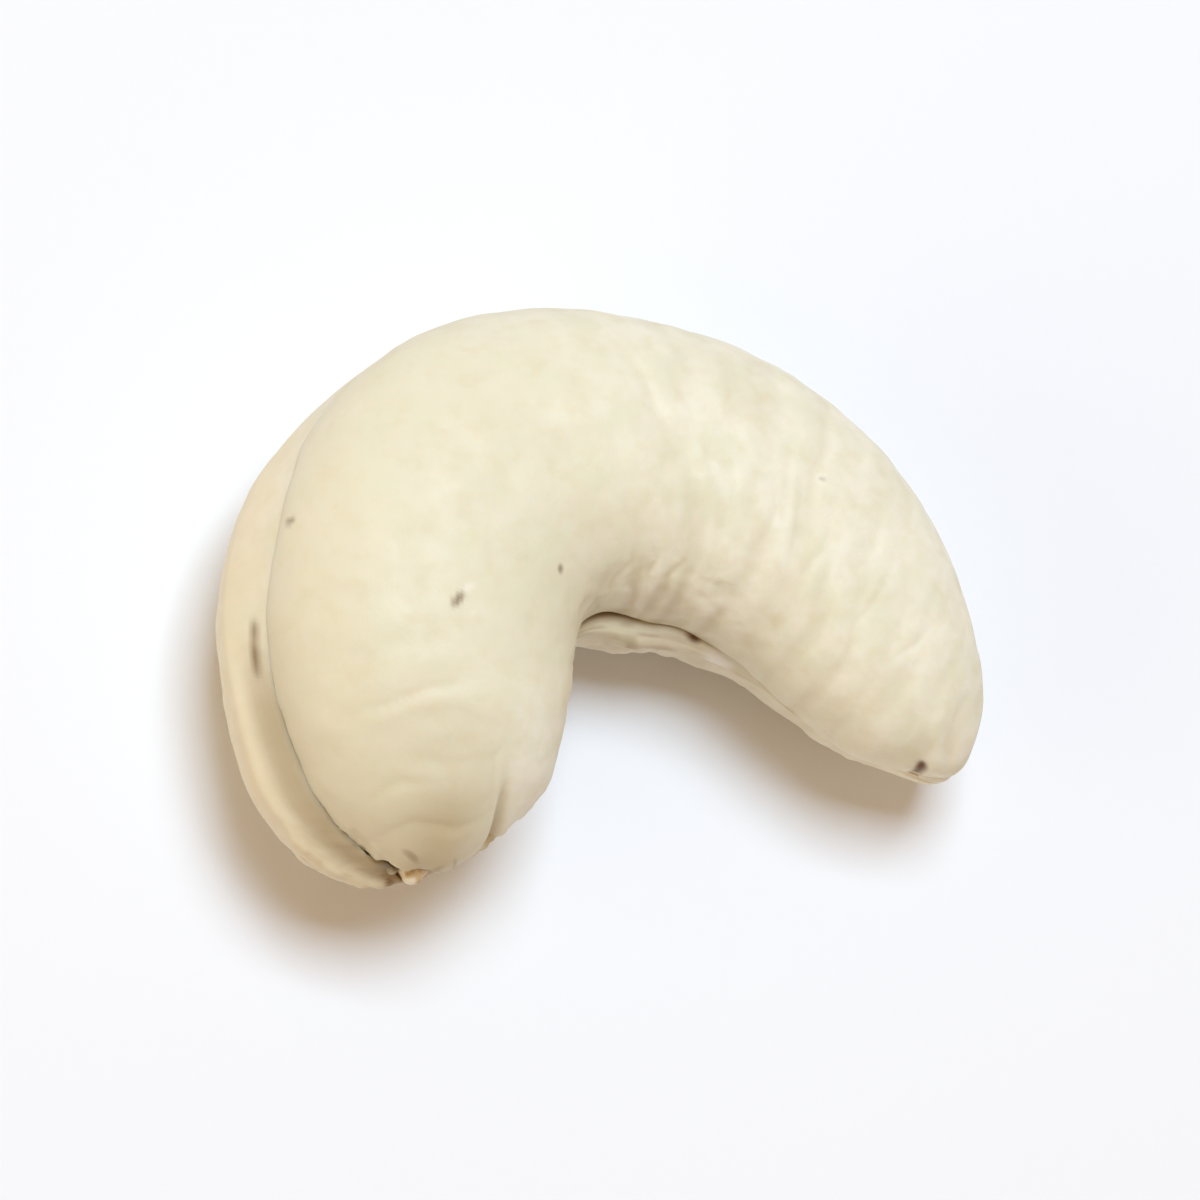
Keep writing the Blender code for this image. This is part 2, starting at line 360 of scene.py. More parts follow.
@dataclass
class Stations:
    """The rings of one half: rib values, and shares of the toe, the full width and the full height at each ring."""

    SAMPLES = 1500
    RINGS_PER_CAP_RING = 7

    distance: np.ndarray
    values: np.ndarray
    toe: np.ndarray
    width: np.ndarray
    height: np.ndarray

    @classmethod
    def along(cls, drawing: KernelDrawing, rings: int) -> "Stations":
        """Return rings spaced evenly along the centre line, and closer together where an end rounds off.

        Args:
            drawing: The kernel's drawing.
            rings: How many rings.

        Returns:
            The stations.
        """
        fine = drawing.blend_ribs(np.linspace(0, len(drawing.ribs) - 1, cls.SAMPLES))
        centre = (fine[:, 0:2] + fine[:, 2:4]) / 2
        along = np.concatenate([[0], np.cumsum(np.linalg.norm(np.diff(centre, axis=0), axis=1))])
        length = along[-1]
        cap_rings = rings // cls.RINGS_PER_CAP_RING
        quarter = 1 - np.cos(np.linspace(0, math.pi / 2, cap_rings + 1)[1:])
        fat, tip = drawing.fat_cap[0], drawing.tip_cap[0]
        middle = np.linspace(fat, length - tip, rings - 2 * cap_rings + 2)[1:-1]
        distance = np.concatenate([fat * quarter, middle, length - tip * quarter[::-1]])
        to_tip = length - distance
        return cls(
            distance=distance,
            values=np.stack([np.interp(distance, along, column) for column in fine.T], axis=1),
            toe=np.clip(1 - distance / drawing.toe_length, 0, 1) ** 2,
            width=end_rounding(distance, drawing.fat_cap) * end_rounding(to_tip, drawing.tip_cap),
            height=end_rounding(distance, drawing.fat_slope) * end_rounding(to_tip, drawing.tip_slope),
        )


@dataclass(frozen=True)
class Rims:
    """The rims of one half at every ring, in plan: rib centres, the direction outwards, and half the width."""

    PLACES = (0.3, 0.985)

    centre: np.ndarray
    outward: np.ndarray
    half_width: np.ndarray

    @classmethod
    def of_side(cls, drawing: KernelDrawing, stations: Stations, side: Side) -> "Rims":
        """Return the rims of a half, rounded off at both ends.

        Args:
            drawing: The kernel's drawing, for the toe of the lower half.
            stations: The rings.
            side: Which half. The lower one reaches past the upper one along the rib, and its fat end by the toe.

        Returns:
            The rims.
        """
        outer, inner = stations.values[:, 0:2], stations.values[:, 2:4]
        outward = (outer - inner) / np.linalg.norm(outer - inner, axis=1, keepdims=True)
        if side is Side.LOWER:
            drawn_out = stations.toe[:, None] * np.array(drawing.toe)
            outer = outer + outward * stations.values[:, 6:7] + drawn_out
            inner = inner - outward * stations.values[:, 7:8] + drawn_out
        half_width = np.linalg.norm(outer - inner, axis=1) / 2 * stations.width
        return cls((outer + inner) / 2, outward, half_width)

    def place_of(self, other: "Rims", way: int, apart: np.ndarray) -> np.ndarray:
        """Return where another half's rim lies across these ribs, from -1 on the inner rim to 1 on the outer.

        Args:
            other: The other half's rims.
            way: 1 for the outer rim, -1 for the inner one.
            apart: Distance outside the other half's rim, in millimetres at each ring.

        Returns:
            The place at each ring, kept within PLACES of the way from the rib's middle to its rim.
        """
        offset = ((other.centre - self.centre) * self.outward).sum(axis=1)
        place = (offset + way * (other.half_width + apart)) / self.half_width
        return way * np.clip(way * place, *self.PLACES)


@dataclass(frozen=True)
class Lip:
    """How the lower half's seam face rises where it shows beside the upper half, at distances from the fat end.

    fillet is the height at the inner end of the band and ridge that of a roll along its middle. apart is how far
    outside the upper half's rim the band ends: below zero, it ends inside the upper half and meets its flank. The
    fillet is straight across where it runs up the flank, and curls up nearer the fat end.
    """

    CURLS = (7.4, 5.0)

    places: tuple[float, ...]
    fillet: tuple[float, ...]
    ridge: tuple[float, ...]
    apart: tuple[float, ...]

    def rise(self, along: np.ndarray, band: np.ndarray) -> np.ndarray:
        """Return the rise of the face: fillet x share^curl + ridge x sin(pi x sqrt(share)).

        Args:
            along: Distance of each ring from the fat end. The curl is 2 near it and 1 farther off.
            band: Shares of the band's width, rings by points.

        Returns:
            The rise in millimetres.
        """
        fillet = np.interp(along, self.places, self.fillet)[:, None]
        ridge = np.interp(along, self.places, self.ridge)[:, None]
        curl = 1 + smooth_step(along, *self.CURLS)[:, None]
        return fillet * band**curl + ridge * np.sin(np.sqrt(band) * math.pi)


@dataclass
class Section:
    """The points of every ring as shares, each an array of rings by points.

    across runs along the rib, from -1 on the inner rim to 1 on the outer. dome and face are heights on the outside
    and on the seam face. outer_band and inner_band grow from 0 on a rim to 1 where the other half's rim comes down
    on the face, and are 0 elsewhere.
    """

    DOME_POINTS_PER_BAND_POINT = 14
    CROWDING = 2.5

    across: np.ndarray
    dome: np.ndarray
    face: np.ndarray
    outer_band: np.ndarray
    inner_band: np.ndarray

    @classmethod
    def between(cls, drawing: KernelDrawing, inner_rim: np.ndarray, outer_rim: np.ndarray, points: int) -> "Section":
        """Return sections with points spread by angle on the dome and crowded on the face's two bands.

        The outside is the superellipse |across|^n + dome^n = 1 and the face another, n being their fullness.

        Args:
            drawing: The kernel's drawing, for the fullness of each part.
            inner_rim: At each ring, the place across where the inner band ends.
            outer_rim: The same for the outer band.
            points: Points on the dome. Each band has a fourteenth as many, and so has the face between them.

        Returns:
            The sections.
        """
        rings = len(inner_rim)
        angle = np.linspace(0, math.pi, points, endpoint=False)
        power = 2 / drawing.dome_fullness
        over = np.sign(np.cos(angle)) * np.abs(np.cos(angle)) ** power
        few = points // cls.DOME_POINTS_PER_BAND_POINT
        into = np.linspace(0, 1, few) ** cls.CROWDING
        inner_across = -1 + into * (inner_rim[:, None] + 1)
        outer_across = 1 - into[::-1] * (1 - outer_rim[:, None])
        share = np.linspace(0.01, 0.99, few)
        middle = inner_rim[:, None] * (1 - share) + outer_rim[:, None] * share
        on_face = np.hstack([inner_across, middle, outer_across[:, :-1]])
        nothing = np.zeros((rings, 1))
        fullness = drawing.face_fullness
        return cls(
            across=np.hstack([over + nothing, on_face]),
            dome=np.hstack([np.abs(np.sin(angle)) ** power + nothing, 0 * on_face]),
            face=np.hstack([0 * angle + nothing, (1 - np.abs(on_face) ** fullness) ** (1 / fullness)]),
            outer_band=np.hstack([0 * angle + nothing, 0 * inner_across, 0 * middle, into[:0:-1] + nothing]),
            inner_band=np.hstack([0 * angle + nothing, into + nothing, 0 * middle, 0 * outer_across[:, :-1]]),
        )


@dataclass
class Placement:
    """Carries the drawing, in millimetres on the seam plane, to the row frame in metres."""

    turn: np.ndarray
    shift: np.ndarray

    @classmethod
    def fitted(cls, drawing: KernelDrawing, plain_upper: np.ndarray) -> "Placement":
        """Return the placement that lays the plain upper half in the box of its CAD node.

        Args:
            drawing: The kernel's drawing, for the seam's tilt.
            plain_upper: Points of the upper half with nothing pressed into it.

        Returns:
            The placement: a turn about the level axis square to the raised direction, and a shift that matches the
            box's middle in plan and its top.
        """
        raised = Vector((math.cos(drawing.raised_towards), math.sin(drawing.raised_towards), 0.0))
        turn = np.array(Matrix.Rotation(drawing.seam_tilt, 3, raised.cross(Vector((0.0, 0.0, 1.0)))))
        turned = plain_upper.reshape(-1, 3) @ turn.T * MM
        lowest, highest = (np.array(corner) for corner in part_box(Side.UPPER.value))
        shift = (lowest + highest) / 2 - (turned.min(axis=0) + turned.max(axis=0)) / 2
        shift[2] = highest[2] - turned[:, 2].max()
        return cls(turn, shift)

    def to_row(self, points: np.ndarray) -> np.ndarray:
        """Return points of the drawing in the row frame, in metres."""
        return points @ self.turn.T * MM + self.shift


def surface_normals(surface: np.ndarray) -> np.ndarray:
    """Return unit normals, pointing out, of a grid whose second axis closes on itself.

    The normal is the cross product of the differences between neighbours along the two axes.

    Args:
        surface: Array of rings by points by x, y, z.

    Returns:
        Normals in the same shape.
    """
    along = np.gradient(surface, axis=0)
    around = np.roll(surface, -1, axis=1) - np.roll(surface, 1, axis=1)
    normals = np.cross(along, around)
    normals /= np.linalg.norm(normals, axis=2, keepdims=True) + 1e-9
    outwards = surface - surface.mean(axis=1, keepdims=True)
    return normals * np.sign((normals * outwards).sum())


def closed_mesh(name: str, surface: np.ndarray, marks: dict[str, np.ndarray]) -> bpy.types.Mesh:
    """Return a smooth mesh of a grid whose sections are closed, with a point at the middle of each end ring.

    Args:
        name: The mesh's name.
        surface: Array of rings by points by x, y, z, in metres.
        marks: Named arrays of rings by points, kept as attributes for the materials.

    Returns:
        The mesh, its faces pointing out.
    """
    rings, points = surface.shape[:2]
    corners = np.vstack([surface.reshape(-1, 3), surface[[0, -1]].mean(axis=1)])
    number = np.arange(rings * points).reshape(rings, points)
    following = np.roll(number, -1, axis=1)
    walls = np.dstack([number[:-1], number[1:], following[1:], following[:-1]]).reshape(-1, 4)
    fat_pole = np.full(points, rings * points)
    fans = np.vstack(
        [
            np.stack([number[0], following[0], fat_pole], axis=1),
            np.stack([following[-1], number[-1], fat_pole + 1], axis=1),
        ]
    )
    first, second, third = corners[walls[:, 0]], corners[walls[:, 1]], corners[walls[:, 2]]
    if np.einsum("ij,ij->i", first, np.cross(second, third)).sum() < 0:
        walls, fans = walls[:, ::-1], fans[:, ::-1]
    mesh = bpy.data.meshes.new(name)
    mesh.vertices.add(len(corners))
    mesh.vertices.foreach_set("co", corners.astype(np.float32).ravel())
    loops = np.concatenate([walls.ravel(), fans.ravel()]).astype(np.int32)
    mesh.loops.add(len(loops))
    mesh.loops.foreach_set("vertex_index", loops)
    starts = np.concatenate([np.arange(len(walls)) * 4, walls.size + np.arange(len(fans)) * 3])
    mesh.polygons.add(len(starts))
    mesh.polygons.foreach_set("loop_start", starts.astype(np.int32))
    mesh.update(calc_edges=True)
    mesh.validate()
    mesh.shade_smooth()
    for mark, values in marks.items():
        poles = values[[0, -1]].mean(axis=1)
        attribute = mesh.attributes.new(mark, "FLOAT", "POINT")
        attribute.data.foreach_set("value", np.concatenate([values.ravel(), poles]).astype(np.float32))
    return mesh


@dataclass(frozen=True)
class SkinNoise:
    """A size of noise in the skin: cells in a metre, the raw values stretched to 0 and 1, its share, its detail."""

    scale: float
    span: Pair
    share: float
    detail: float = 3.0


class SkinNodes:
    """The node tree of one skin: noises on Object coordinates, the mesh's attributes, and mixes of them."""

    def __init__(self, name: str) -> None:
        """Start a material of this name, with its shader and its Object coordinates."""
        self.material = bpy.data.materials.new(name)
        self.material.use_nodes = True
        self.tree = self.material.node_tree
        self.shader = self.tree.nodes["Principled BSDF"]
        self.place = self.tree.nodes.new("ShaderNodeTexCoord").outputs["Object"]

    def noise(self, kind: SkinNoise) -> Socket:
        """Return a noise whose raw span is stretched smoothly over 0 to 1.

        Args:
            kind: The noise's size and span.

        Returns:
            The socket with the noise.
        """
        cells = self.tree.nodes.new("ShaderNodeTexNoise")
        cells.inputs["Scale"].default_value = kind.scale
        cells.inputs["Detail"].default_value = kind.detail
        self.tree.links.new(self.place, cells.inputs["Vector"])
        spread = self.tree.nodes.new("ShaderNodeMapRange")
        spread.interpolation_type = "SMOOTHSTEP"
        spread.inputs["From Min"].default_value, spread.inputs["From Max"].default_value = kind.span
        self.tree.links.new(cells.outputs["Fac"], spread.inputs["Value"])
        return spread.outputs["Result"]

    def scaled(self, value: Socket, share: float) -> Socket:
        """Return a value times a share.

        Args:
            value: The socket with the value.
            share: The fixed share.

        Returns:
            The socket with the product.
        """
        times = self.tree.nodes.new("ShaderNodeMath")
        times.operation = "MULTIPLY"
        times.inputs[1].default_value = share
        self.tree.links.new(value, times.inputs[0])
        return times.outputs["Value"]

    def attribute(self, name: str) -> Socket:
        """Return the socket of one of the mesh's attributes, by its name."""
        attribute = self.tree.nodes.new("ShaderNodeAttribute")
        attribute.attribute_name = name
        return attribute.outputs["Fac"]

    def mix(self, factor: Socket, first: Colour, second: Colour) -> Socket:
        """Return two colours mixed by a factor.

        Args:
            factor: The share of the second colour.
            first: The first colour, a socket or a fixed one.
            second: The second colour, the same.

        Returns:
            The socket with the mixed colour.
        """
        mix = self.tree.nodes.new("ShaderNodeMix")
        mix.data_type = "RGBA"
        self.tree.links.new(factor, mix.inputs["Factor"])
        for socket, colour in ((mix.inputs[6], first), (mix.inputs[7], second)):
            if isinstance(colour, tuple):
                socket.default_value = colour
            else:
                self.tree.links.new(colour, socket)
        return mix.outputs[2]

    def vary_roughness(self, value: Socket, lowest: float, highest: float) -> None:
        """Let a value of 0 to 1 carry the roughness from its lowest to its highest.

        Args:
            value: The socket with the value.
            lowest: The roughness at 0.
            highest: The roughness at 1.
        """
        spread = self.tree.nodes.new("ShaderNodeMapRange")
        spread.inputs["To Min"].default_value = lowest
        spread.inputs["To Max"].default_value = highest
        self.tree.links.new(value, spread.inputs["Value"])
        self.tree.links.new(spread.outputs["Result"], self.shader.inputs["Roughness"])

    def raise_grain(self, scale: float, height: float, strength: float) -> None:
        """Raise the skin's finest grain as bump.

        Args:
            scale: Cells of grain in a metre.
            height: The grain's height in metres.
            strength: The share of it that shows.
        """
        grain = self.tree.nodes.new("ShaderNodeTexNoise")
        grain.inputs["Scale"].default_value = scale
        grain.inputs["Detail"].default_value = 4.0
        self.tree.links.new(self.place, grain.inputs["Vector"])
        bump = self.tree.nodes.new("ShaderNodeBump")
        bump.inputs["Strength"].default_value = strength
        bump.inputs["Distance"].default_value = height
        self.tree.links.new(grain.outputs["Fac"], bump.inputs["Height"])
        self.tree.links.new(bump.outputs["Normal"], self.shader.inputs["Normal"])


@dataclass(frozen=True)
class KernelFinish:
    """Raw cashew flesh: matt ivory with a little light passing in, tan that is mostly painted shade, brown in its
    marks.
    """

    name: str
    pale: Rgb
    warm: Rgb
    # The tan: painted shade in creases, recesses, the trough, towards the fat end and in the seam's crevice; real tan
    # elsewhere.
    tan_and_painted_shade: Rgb
    cool: Rgb = (226, 225, 199)
    # A whiter ivory: paler on the arm, and painted light on the arch's wall and the lobe, which face away from the
    # key.
    pale_and_painted_light: Rgb = (240, 236, 219)
    fleck: Rgb = (222, 210, 174)
    # The brown of the specks, also used for a painted shadow in the seam's crack at the arch.
    mark: Rgb = (112, 78, 36)
    scuff: Rgb = (248, 245, 236)
    patches: SkinNoise = SkinNoise(420.0, (0.36, 0.64), 0.50)
    mottle: SkinNoise = SkinNoise(1000.0, (0.38, 0.62), 0.40)
    greens: SkinNoise = SkinNoise(640.0, (0.46, 0.66), 0.50)
    flecks: SkinNoise = SkinNoise(1350.0, (0.48, 0.72), 0.26)
    roughness: Pair = (0.47, 0.59)
    specular: float = 0.32
    light_share: float = 0.35
    light_depth: float = 0.9 * MM
    light_reach: Triple = (1.0, 0.74, 0.50)
    grain_scale: float = 4200.0
    grain_height: float = 0.03 * MM
    grain_strength: float = 0.35

    def material(self) -> bpy.types.Material:
        """Return the node material: the pale ivory with one colour after another mixed in.

        Four sizes of noise on Object coordinates mix in the warm and the cool ivory and the flecks. The attributes
        worked out with the mesh mix in a whiter ivory that is partly painted light, more warmth, a tan that is mostly
        painted shade, white, and brown that includes a painted shadow in the seam's crack at the arch.
        """
        nodes = SkinNodes(self.name)
        mottle = nodes.noise(self.mottle)
        colour: Colour = to_linear(self.pale)
        for factor, added in (
            (nodes.scaled(nodes.noise(self.patches), self.patches.share), self.warm),
            # A whiter ivory, partly painted light on the arch's wall and the lobe.
            (nodes.attribute("pale_and_painted_light"), self.pale_and_painted_light),
            (nodes.scaled(mottle, self.mottle.share), self.warm),
            (nodes.scaled(nodes.noise(self.greens), self.greens.share), self.cool),
            (nodes.scaled(nodes.noise(self.flecks), self.flecks.share), self.fleck),
            (nodes.attribute("blush"), self.warm),
            # Tan, mostly painted shade in recesses and creases.
            (nodes.attribute("tan_and_painted_shade"), self.tan_and_painted_shade),
            (nodes.attribute("scuff"), self.scuff),
            # Brown of the specks, and a painted shadow in the seam's crack at the arch.
            (nodes.attribute("mark"), self.mark),
        ):
            colour = nodes.mix(factor, colour, to_linear(added))
        shader = nodes.shader
        nodes.tree.links.new(colour, shader.inputs["Base Color"])
        shader.inputs["Specular IOR Level"].default_value = self.specular
        shader.inputs["Subsurface Weight"].default_value = self.light_share
        shader.inputs["Subsurface Scale"].default_value = self.light_depth
        shader.inputs["Subsurface Radius"].default_value = self.light_reach
        nodes.vary_roughness(mottle, *self.roughness)
        nodes.raise_grain(self.grain_scale, self.grain_height, self.grain_strength)
        return nodes.material


UPPER_FINISH = KernelFinish("kernel_ivory", pale=(231, 226, 204), warm=(227, 221, 195), tan_and_painted_shade=(187, 167, 127))
LOWER_FINISH = KernelFinish("kernel_cream", pale=(237, 230, 208), warm=(231, 220, 190), tan_and_painted_shade=(176, 158, 126))
RADICLE_FINISH = KernelFinish("kernel_root", pale=(236, 222, 190), warm=(220, 198, 154), tan_and_painted_shade=(170, 140, 100))


@dataclass
class Radicle:
    """The little root between the halves: a teardrop whose tip shows at the fat end's seam."""

    root: Triple = (-6.1, -6.3, 0.0)
    tip: Triple = (-7.05, -9.8, 0.0)
    radius: float = 0.90
    taper: float = 0.10
    clearance: float = 0.05
    bumps: Wave = Wave(0.5, 0.24)
    bumps_seed: int = 31
    shade_seed: int = 32
    rings: int = 60
    points: int = 64

    def axis_distance(self, plan: np.ndarray) -> tuple[np.ndarray, np.ndarray]:
        """Return how far points lie from the root's axis, and the radius of the root's pocket there.

        Args:
            plan: The points, x and y.

        Returns:
            The distance, and the radius: the teardrop's with the clearance, and 0 behind its root.
        """
        root, tip = np.array(self.root[:2]), np.array(self.tip[:2])
        run = tip - root
        share = (plan - root) @ run / (run @ run)
        off = np.linalg.norm(plan - root - share[..., None] * run, axis=-1)
        along = np.clip(2 * share - 1, -1, 1)
        radius = self.radius * (1 - self.taper * np.clip(along, 0, 1)) * np.sqrt(1 - along**2 * 0.96)
        return off, (radius + self.clearance) * (share > -0.05)

    def surface(self) -> np.ndarray:
        """Return the teardrop in the drawing: a sphere's latitudes and longitudes, slimmed towards the tip.

        Noise pushes the points in and out along the radius, because the root is torn.

        Returns:
            Array of rings by points by x, y, z.
        """
        latitude = np.linspace(0, math.pi, self.rings + 2)[1:-1]
        longitude = np.linspace(0, 2 * math.pi, self.points, endpoint=False)
        height = -np.cos(latitude)[:, None] * np.ones(self.points)
        radius = self.radius * np.sin(latitude)[:, None] * (1 - self.taper * np.clip(height, 0, 1))
        root, tip = np.array(self.root), np.array(self.tip)
        axis = tip - root
        side = np.cross(axis, [0, 0, 1])
        side /= np.linalg.norm(side)
        up = np.cross(side, axis / np.linalg.norm(axis))
        around = np.cos(longitude)[None, :, None] * side + np.sin(longitude)[None, :, None] * up
        points = (root + tip) / 2 + height[..., None] * axis / 2 + radius[..., None] * around
        bumps = LatticeNoise(self.bumps_seed).layered(points, self.bumps.length, 3) * self.bumps.height
        return points + (bumps * np.sin(latitude)[:, None])[..., None] * around

    def build(self, placement: Placement) -> bpy.types.Object:
        """Return the finished radicle, in place of its CAD node.

        Args:
            placement: Carries the drawing to the row frame.

        Returns:
            The object. One noise shades it: tan and brown where high, pale where low.
        """
        surface = self.surface()
        shade = LatticeNoise(self.shade_seed).layered(surface, 0.35, 2)
        marks = {
            "tan_and_painted_shade": np.clip(0.25 + 0.4 * shade, 0, 1),
            "blush": np.clip(0.3 - 0.3 * shade, 0, 1),
            "pale_and_painted_light": np.zeros(surface.shape[:2]),
            "mark": smooth_step(shade, 0.45, 0.9) * 0.7,
            "scuff": smooth_step(shade, -0.3, -0.8) * 0.5,
        }
        mesh = closed_mesh("radicle_nub", placement.to_row(surface), marks)
        return fit_piece(mesh, RADICLE_FINISH, "radicle")


@dataclass(frozen=True)
class SkinRelief:
    """The relief of a half's skin.

    swell and dimple lie everywhere. folds, wrinkles and grain lie round the arch within arch_reach of its focus, and
    arch_radius turns angles about it into lengths. ripples and fine_ripples cross the arm, which begins and is full
    at the distances of arm_reach from the fat end. streaks run along the strip under the arch. lumps lie on the
    fat end's last stretch, of fat_reach, and are highest at lumps_place, a middle and a half width along x.
    """

    swell: Wave = Wave(4.2, 0.06)
    dimple: Wave = Wave(1.3, 0.030)
    folds: Wave = Wave((0.95, 1.25, 2.0), 0.11)
    wrinkles: Wave = Wave((0.50, 0.80, 1.2), 0.055)
    grain: Wave = Wave(0.32, 0.020)
    ripples: Wave = Wave((0.85, 2.4, 1.0), 0.040)
    fine_ripples: Wave = Wave((0.42, 1.8, 1.0), 0.022)
    streaks: Wave = Wave((2.2, 0.13, 1.0), 0.02)
    lumps: Wave = Wave(0.60, 0.12)
    arch_focus: Pair = (1.6, -2.7)
    arch_radius: float = 2.6
    arch_reach: Pair = (5.0, 2.4)
    arm_reach: Pair = (15.0, 21.0)
    fat_reach: Pair = (3.0, 0.8)
    lumps_place: Pair = (-6.6, 1.1)
    warp: float = 0.30


@dataclass(frozen=True)
class Toning:
    """How strongly each part of a half takes a colour of its finish, 0 to 1.

    The first eleven are shares of tan: painted shade in lines and folds, pleats and ripples, darker where they lie
    deeper; tan on the seam's face near the arch and the skin's own tan in its streaks; painted shade in the trough
    beside the upper half, at the fat end and its tip and in the seam's crevice; and the skin's own tan where it is
    torn, about a middle and a half width along x. Then come the whiter ivory, paler on the arm and painted light on
    the arch's wall and on the lobe, the warmer one at the fat end and on the rims, and the painted shadow, in brown,
    in the seam's crack at the arch.
    """

    # Shares of tan; in lines, folds, pleats, ripples, trough, fat end and crevice it is painted shade.
    lines: float = 0.50
    folds: float = 0.26
    pleats: float = 0.12
    ripples: float = 0.13
    seam_face: float = 0.12
    streaks: float = 0.60
    trough: float = 0.65
    fat_end: float = 0.14
    fat_tip: float = 0.12
    crevice: float = 0.90
    torn: float = 0.40
    torn_place: Pair = (-6.5, 1.3)
    white_arm: float = 0.80
    # Painted light: a whiter ivory on the arch's wall and on the lobe.
    painted_light_wall: float = 0.90
    painted_light_lobe: float = 1.00
    warm_fat_end: float = 0.35
    warm_rims: float = 0.40
    # Strength of the painted shadow, in brown, in the seam's crack at the arch.
    seam_shadow_share: float = 0.75


@dataclass
class Cotyledon:
    """One seed half: its surface with furrows, pleats, wrinkles and pits, and the marks that its finish reads."""

    side: Side
    finish: KernelFinish
    drawing: KernelDrawing
    radicle: Radicle
    seed: int
    furrows: tuple[Furrow, ...] = ()
    creases: tuple[Crease, ...] = ()
    specks: tuple[Speck, ...] = ()
    scuffs: tuple[Speck, ...] = ()
    bulges: tuple[Bulge, ...] = ()
    outer_lip: Lip | None = None
    inner_lip: Lip | None = None
    skin: SkinRelief = SkinRelief()
    tone: Toning = Toning()
    upper_face: float = 0.8
    rings: int = 380
    dome_points: int = 182

    def section(self, stations: Stations) -> Section:
        """Return the half's sections.

        Args:
            stations: The rings.

        Returns:
            The sections. The lower half's bands end where the upper half's rims come down, and the upper half's at
            a fixed share of the rib.
        """
        if self.side is Side.UPPER:
            middle = np.full(self.rings, self.upper_face)
            return Section.between(self.drawing, -middle, middle, self.dome_points)
        own = Rims.of_side(self.drawing, stations, Side.LOWER)
        other = Rims.of_side(self.drawing, stations, Side.UPPER)
        rims = []
        for way, lip in ((-1, self.inner_lip), (1, self.outer_lip)):
            apart = np.interp(stations.distance, lip.places, lip.apart)
            rims.append(own.place_of(other, way, apart))
        return Section.between(self.drawing, *rims, self.dome_points)

    def plain_surface(self, stations: Stations, section: Section) -> np.ndarray:
        """Return the half with nothing pressed into it, in the drawing.

        Each ring is a section stretched from the inner to the outer rim. The dome rises to the crown or down to the
        belly. The face lies at the seam, bowed up in its middle, and its bands rise by the lips.

        Args:
            stations: The rings.
            section: Their sections.

        Returns:
            Array of rings by points by x, y, z.
        """
        drawing = self.drawing
        upper = self.side is Side.UPPER
        rims = Rims.of_side(drawing, stations, self.side)
        crown, clearance = stations.values[:, 4:6].T[..., None]
        seam = drawing.seam_height + drawing.seam_climb(rims.centre)[:, None]
        belly = seam - clearance - drawing.solids_gap / 2
        bulge = ((crown if upper else belly) - drawing.rim) * stations.height[:, None]
        half_width = (rims.outward * rims.half_width[:, None])[:, None]
        plan = rims.centre[:, None] + section.across[..., None] * half_width
        lip = drawing.rim + (drawing.solids_gap - drawing.shown_gap) / 2
        width = stations.width[:, None]
        rise = drawing.solids_gap / 2 + drawing.rim + section.dome * bulge - section.face * lip * width
        bow = drawing.seam_bow * (1 - section.across**2) * (section.face > 0) * width
        height = rise + bow if upper else bow - rise
        for lip, band in ((self.outer_lip, section.outer_band), (self.inner_lip, section.inner_band)):
            if lip is not None:
                height = height + lip.rise(stations.distance, band) * width
        return np.dstack([plan, height])

    def _pocket(self, surface: np.ndarray) -> np.ndarray:
        """Return a surface whose seam face is pushed back round the radicle, to the circle of its pocket.

        Args:
            surface: The half's surface.

        Returns:
            The surface with its pocket.
        """
        off, radius = self.radicle.axis_distance(surface[..., :2])
        wall = np.sqrt(np.clip(radius**2 - off**2, 0, None))
        height = surface[..., 2]
        if self.side is Side.UPPER:
            height = np.where(off < radius, np.maximum(height, wall), height)
        else:
            height = np.where(off < radius, np.minimum(height, -wall), height)
        return np.dstack([surface[..., :2], height])

    def _arch(self, plan: np.ndarray) -> tuple[np.ndarray, np.ndarray]:
        """Return the angle round the arch's focus and the distance from it at points in plan."""
        offset = plan - np.array(self.skin.arch_focus)
        return np.arctan2(offset[..., 1], offset[..., 0]), np.hypot(offset[..., 0], offset[..., 1])

    def relief(self, surface: np.ndarray, along: np.ndarray, across: np.ndarray) -> dict[str, np.ndarray]:
        """Return the named layers of relief in millimetres, above zero where the skin stands proud.

        Args:
            surface: The plain surface.
            along: Distance of each point's ring from the fat end.
            across: Each point's place on its rib, -1 on the inner rim and 1 on the outer.

        Returns:
            swell: long soft undulations. dimple: shorter ones. pleats: billowed and plain noise in polar coordinates
            round the arch, warped a little. ripples: noise drawn out across the arm. lines: the furrows and creases.
        """
        noise = LatticeNoise(self.seed)
        skin = self.skin
        plan = surface[..., :2]
        swell = noise.layered(surface, skin.swell.length, 2) * skin.swell.height
        dimple = noise.layered(surface + 40, skin.dimple.length, 3) * skin.dimple.height
        angle, distance = self._arch(plan)
        polar = np.stack([angle * skin.arch_radius, distance, surface[..., 2]], axis=-1)
        warp = np.stack([noise.at(surface + 11 * k, 1.0) for k in (1, 2, 3)], axis=-1)
        polar = polar + skin.warp * warp
        near_arch = smooth_step(distance, *skin.arch_reach)
        pleats = (noise.billow(polar, skin.folds.length) - 0.3) * skin.folds.height
        pleats = pleats + skin.wrinkles.of(noise, polar + 5) + skin.grain.of(noise, surface + 9)
        on_arm = smooth_step(along, *skin.arm_reach)
        skewed = np.stack([along + across * 1.1, across * 4.0, np.zeros_like(along)], axis=-1)
        skewed = skewed + 0.3 * noise.at(surface, 1.6)[..., None]
        ripples = skin.ripples.of(noise, skewed) + skin.fine_ripples.of(noise, skewed + 60)
        ripples = ripples * (0.25 + 0.75 * on_arm) * (1 - 0.6 * near_arch)
        lines = -sum((line.depth_at(plan) for line in self.furrows + self.creases), np.zeros(along.shape))
        return {"swell": swell, "dimple": dimple, "pleats": pleats * near_arch, "ripples": ripples, "lines": lines}

